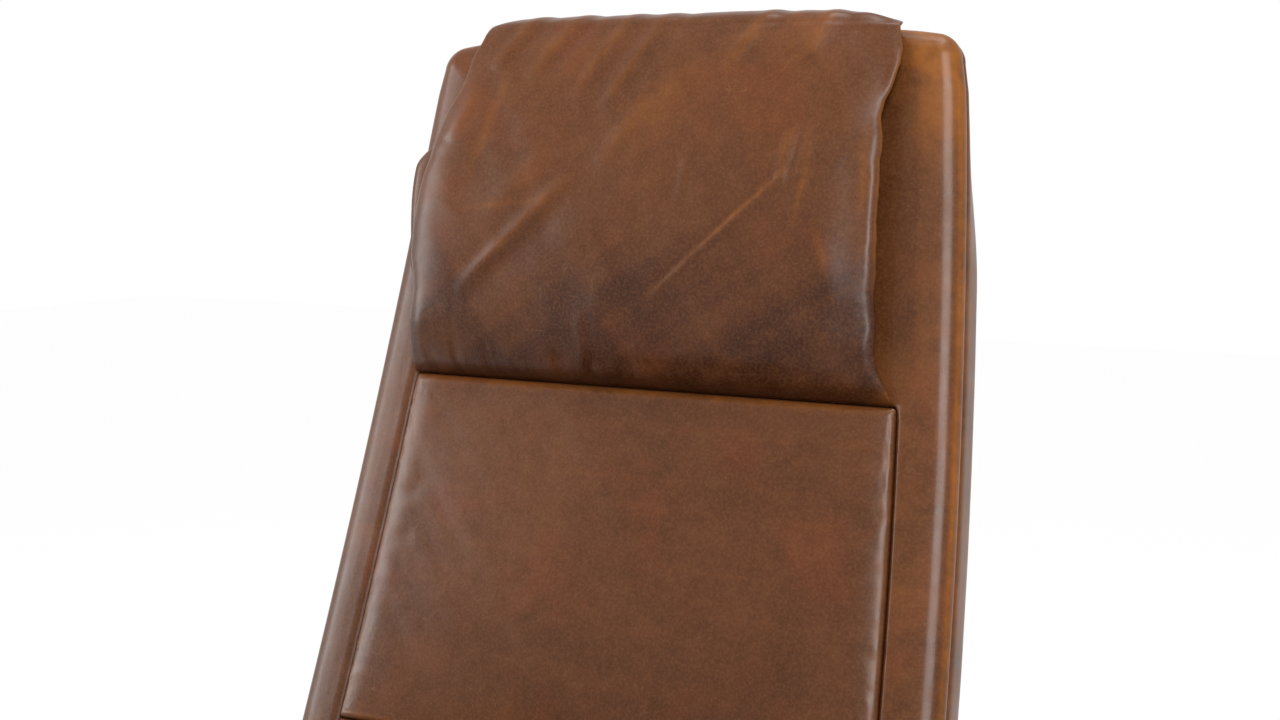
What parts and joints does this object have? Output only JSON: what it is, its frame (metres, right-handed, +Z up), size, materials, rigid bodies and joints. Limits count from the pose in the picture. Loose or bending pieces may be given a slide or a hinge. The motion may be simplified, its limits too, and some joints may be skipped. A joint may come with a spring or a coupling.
{
  "type": "swivel recliner",
  "caption": "High-backed leather recliner that swivels on a round base, with a reclining back, tilting seat, sliding legrest, arms and a folded-over head pillow.",
  "frame": {"origin": "on the swivel axis, at the underside of the rubber pad that stands on the floor", "axes": "+Z up, the sitter faces -Y, and +X is the sitter's left"},
  "size_m": [0.6693, 0.8612, 1.1274],
  "materials": {
    "leather": "satin",
    "brushed_steel": "satin",
    "bright_steel": "polished",
    "frame_steel": "satin",
    "pad_rubber": "matte",
    "friction_disc": "matte",
    "bush_plastic": "satin",
    "handle_plastic": "satin",
    "webbing": "matte",
    "board": "matte"
  },
  "bodies": {
    "base": {"floor_pad": "pad_rubber", "base_plate": "brushed_steel", "base_column": "brushed_steel", "flange_bolts": "bright_steel", "swivel_bushes": "bush_plastic", "bearing_ring_lower": "bright_steel", "bearing_balls": "bright_steel", "ball_cage": "bush_plastic"},
    "cradle": {"bearing_ring_upper": "bright_steel", "swivel_spindle": "bright_steel", "swivel_head": "frame_steel", "head_bolts": "bright_steel", "cradle_plate": "frame_steel", "cradle_ear_left": "frame_steel", "cradle_ear_right": "frame_steel", "tilt_bushes": "bush_plastic"},
    "seat": {"tilt_shaft": "bright_steel", "tilt_lugs": "frame_steel", "seat_rail_left": "frame_steel", "seat_rail_right": "frame_steel", "seat_crossbar_front": "frame_steel", "seat_crossbar_mid": "frame_steel", "seat_crossbar_rear": "frame_steel", "seat_webbing": "webbing", "seat_front_apron": "leather", "seat_cushion": "leather", "arm_board_left": "board", "arm_board_right": "board", "arm_inner_pad_left": "leather", "arm_inner_pad_right": "leather", "arm_cover_left": "leather", "arm_cover_right": "leather", "arm_bolts": "bright_steel", "friction_washers": "friction_disc", "release_bezel": "handle_plastic"},
    "legrest": {"legrest_shaft": "bright_steel", "legrest_springs": "bright_steel", "legrest_arm_left": "brushed_steel", "legrest_arm_right": "brushed_steel", "legrest_crossbar": "brushed_steel", "ratchet_wheel": "bright_steel"},
    "footpad": {"legrest_rods": "brushed_steel", "legrest_board": "board", "legrest_pad": "leather"},
    "release": {"release_lever": "handle_plastic", "release_shaft": "bright_steel"},
    "back": {"hinge_tubes": "frame_steel", "hinge_shafts": "bright_steel", "guide_rollers": "bush_plastic", "back_stile_left": "frame_steel", "back_stile_right": "frame_steel", "back_crossbars": "frame_steel", "back_webbing": "webbing", "back_shell": "leather", "back_border": "leather", "lumbar_panel": "leather", "back_panel": "leather", "head_pillow": "leather"},
    "wheel_left": {"tension_wheel_left": "handle_plastic"},
    "wheel_right": {"tension_wheel_right": "handle_plastic"}
  },
  "joints": [
    {"name": "swivel", "type": "hinge", "parent": "base", "child": "cradle", "pos_m": [0, 0, 0.19], "axis": [0, 0, 1], "continuous": true},
    {"name": "seat_tilt", "type": "hinge", "parent": "cradle", "child": "seat", "pos_m": [0, -0.117, 0.2401], "axis": [-1, 0, 0], "range_deg": [0, 9.02]},
    {"name": "recline", "type": "hinge", "parent": "seat", "child": "back", "pos_m": [0, 0.18468, 0.32526], "axis": [-1, 0, 0], "range_deg": [0, 36]},
    {"name": "wheel_turn_left", "type": "hinge", "parent": "back", "child": "wheel_left", "pos_m": [0, 0.18468, 0.32526], "axis": [1, 0, 0], "range_deg": [-180, 180]},
    {"name": "wheel_turn_right", "type": "hinge", "parent": "back", "child": "wheel_right", "pos_m": [0, 0.18468, 0.32526], "axis": [1, 0, 0], "range_deg": [-180, 180]},
    {"name": "legrest_swing", "type": "hinge", "parent": "seat", "child": "legrest", "pos_m": [0, -0.32202, 0.31859], "axis": [-1, 0, 0], "range_deg": [0, 98]},
    {"name": "footpad_slide", "type": "slide", "parent": "legrest", "child": "footpad", "axis": [0, 0.0698, -0.9976], "range_m": [0, 0.0982]},
    {"name": "lever_turn", "type": "hinge", "parent": "seat", "child": "release", "pos_m": [0, -0.26324, 0.27037], "axis": [1, 0, 0], "range_deg": [0, 25], "stiffness_Nm_per_rad": 1.2, "springref_deg": -5.73}
  ],
  "couplings": [
    {"joint": "seat_tilt", "follows": "recline", "ratio": 0.25},
    {"joint": "footpad_slide", "follows": "legrest_swing", "m_per_rad": 0.057296}
  ]
}
